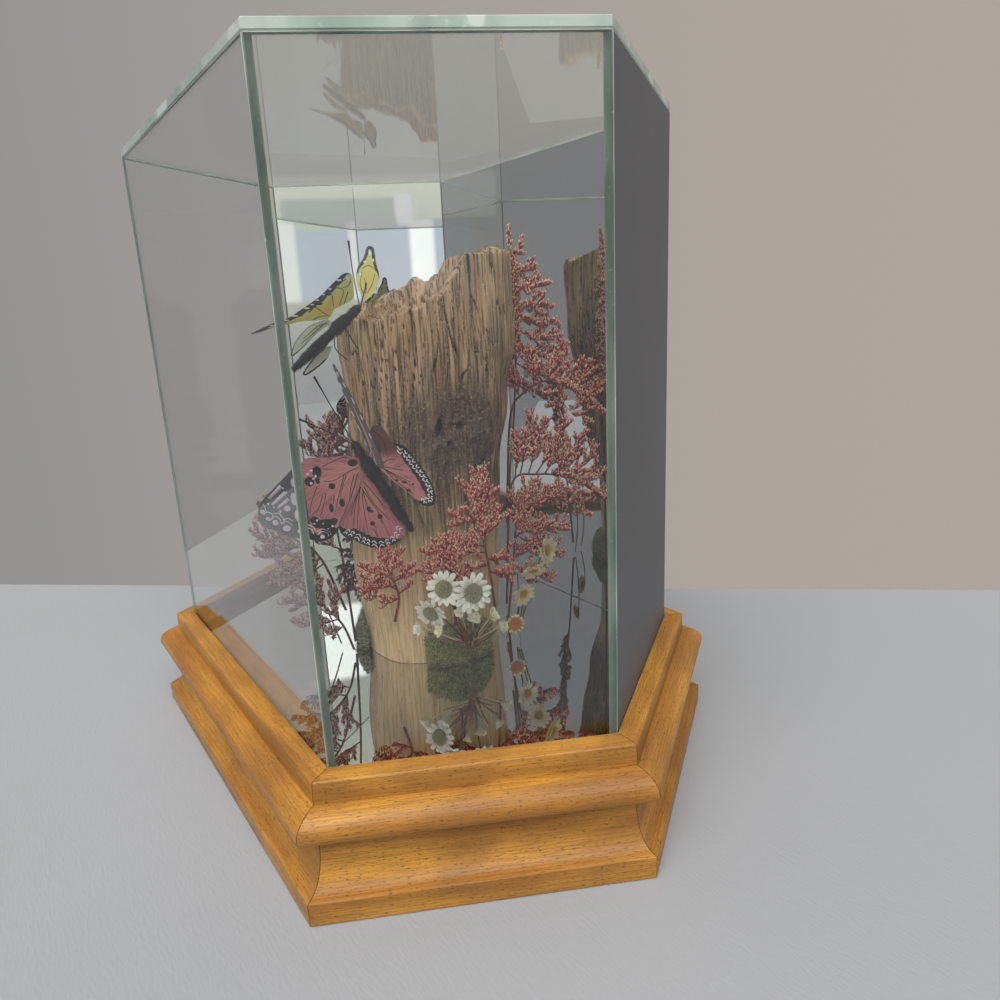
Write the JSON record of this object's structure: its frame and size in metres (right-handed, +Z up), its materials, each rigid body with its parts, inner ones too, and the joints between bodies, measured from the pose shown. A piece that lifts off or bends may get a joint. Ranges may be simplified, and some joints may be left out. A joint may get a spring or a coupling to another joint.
{
  "type": "glass case with mounted butterflies and dried flowers",
  "caption": "Six-sided glass display case on a moulded wooden base, with butterflies, driftwood stump, dried plumes, everlasting flowers and moss fixed inside.",
  "frame": {"origin": "middle of the base's underside, on the surface that the case stands on", "axes": "+X along the case's long side to the right, +Y from the wide clear front pane back to the mirrors, +Z up"},
  "size_m": [0.3566, 0.2414, 0.318],
  "materials": {
    "honey_wood": "honey-coloured hardwood with fine dark flecks, satin varnish",
    "board_wood": "plain unfinished board",
    "clear_glass": "clear float glass with ground green edges",
    "mirror": "silvered glass, slate-grey paint on its back",
    "driftwood": "weathered, barkless, cracked along the grain",
    "moss": "dried moss",
    "crimson_florets": "dried crimson florets with cream tips",
    "faded_florets": "dried florets faded to purple brown",
    "woolly_petals": "papery cream-white everlasting petals round a woolly grey-green disc",
    "orange_discs": "orange-brown flower disc with cream petals",
    "cream_petals": "papery cream petals",
    "dry_stalks": "thin dry brown stalks",
    "insect_black": "fuzzy black insect body",
    "insect_navy": "fuzzy blue-black insect body",
    "rose_wing": "rose wing with black veins and a white-dotted black border",
    "lime_wing": "lime-yellow wing with black veins and a flecked black margin"
  },
  "bodies": {
    "root": {"base_rail_front": "honey_wood", "base_rail_front_right": "honey_wood", "base_rail_rear_right": "honey_wood", "base_rail_rear": "honey_wood", "base_rail_rear_left": "honey_wood", "base_rail_front_left": "honey_wood", "base_foot_board": "board_wood", "base_floor_board": "board_wood", "floor_mirror": "mirror", "glass_lid": "clear_glass", "glass_pane_front": "clear_glass", "glass_pane_front_right": "clear_glass", "glass_pane_front_left": "clear_glass", "mirror_pane_rear_right": "mirror", "mirror_pane_rear": "mirror", "mirror_pane_rear_left": "mirror", "stump": "driftwood", "moss_front": "moss", "moss_left": "moss", "moss_rear": "moss", "plume_tall": "crimson_florets", "plume_arching": "crimson_florets", "plume_fan": "crimson_florets", "plume_low": "crimson_florets", "sprig_front_right": "crimson_florets", "sprig_front_left": "crimson_florets", "plume_curled": "crimson_florets", "plume_left_upright": "faded_florets", "plume_left_spread": "faded_florets", "plume_left_low": "faded_florets", "plume_rear": "faded_florets", "daisy_upper_left": "woolly_petals", "daisy_upper_right": "woolly_petals", "daisy_lower_left": "woolly_petals", "daisy_orange": "orange_discs", "daisy_rear_orange": "orange_discs", "daisy_cream_right": "cream_petals", "daisy_cream_middle": "cream_petals", "daisy_cream_low": "cream_petals", "daisy_cream_left": "cream_petals", "daisy_rear_cream": "cream_petals", "bud_1": "woolly_petals", "bud_2": "woolly_petals", "bud_3": "woolly_petals", "bud_4": "woolly_petals", "bud_5": "woolly_petals", "bud_6": "woolly_petals", "stalk_bundle": "dry_stalks", "red_butterfly_body": "insect_black", "red_butterfly_left_forewing": "rose_wing", "red_butterfly_left_hindwing": "rose_wing", "red_butterfly_right_forewing": "rose_wing", "red_butterfly_right_hindwing": "rose_wing", "yellow_butterfly_body": "insect_navy", "yellow_butterfly_near_forewing": "lime_wing", "yellow_butterfly_near_hindwing": "lime_wing", "yellow_butterfly_far_forewing": "lime_wing", "yellow_butterfly_far_hindwing": "lime_wing"}
  },
  "joints": []
}
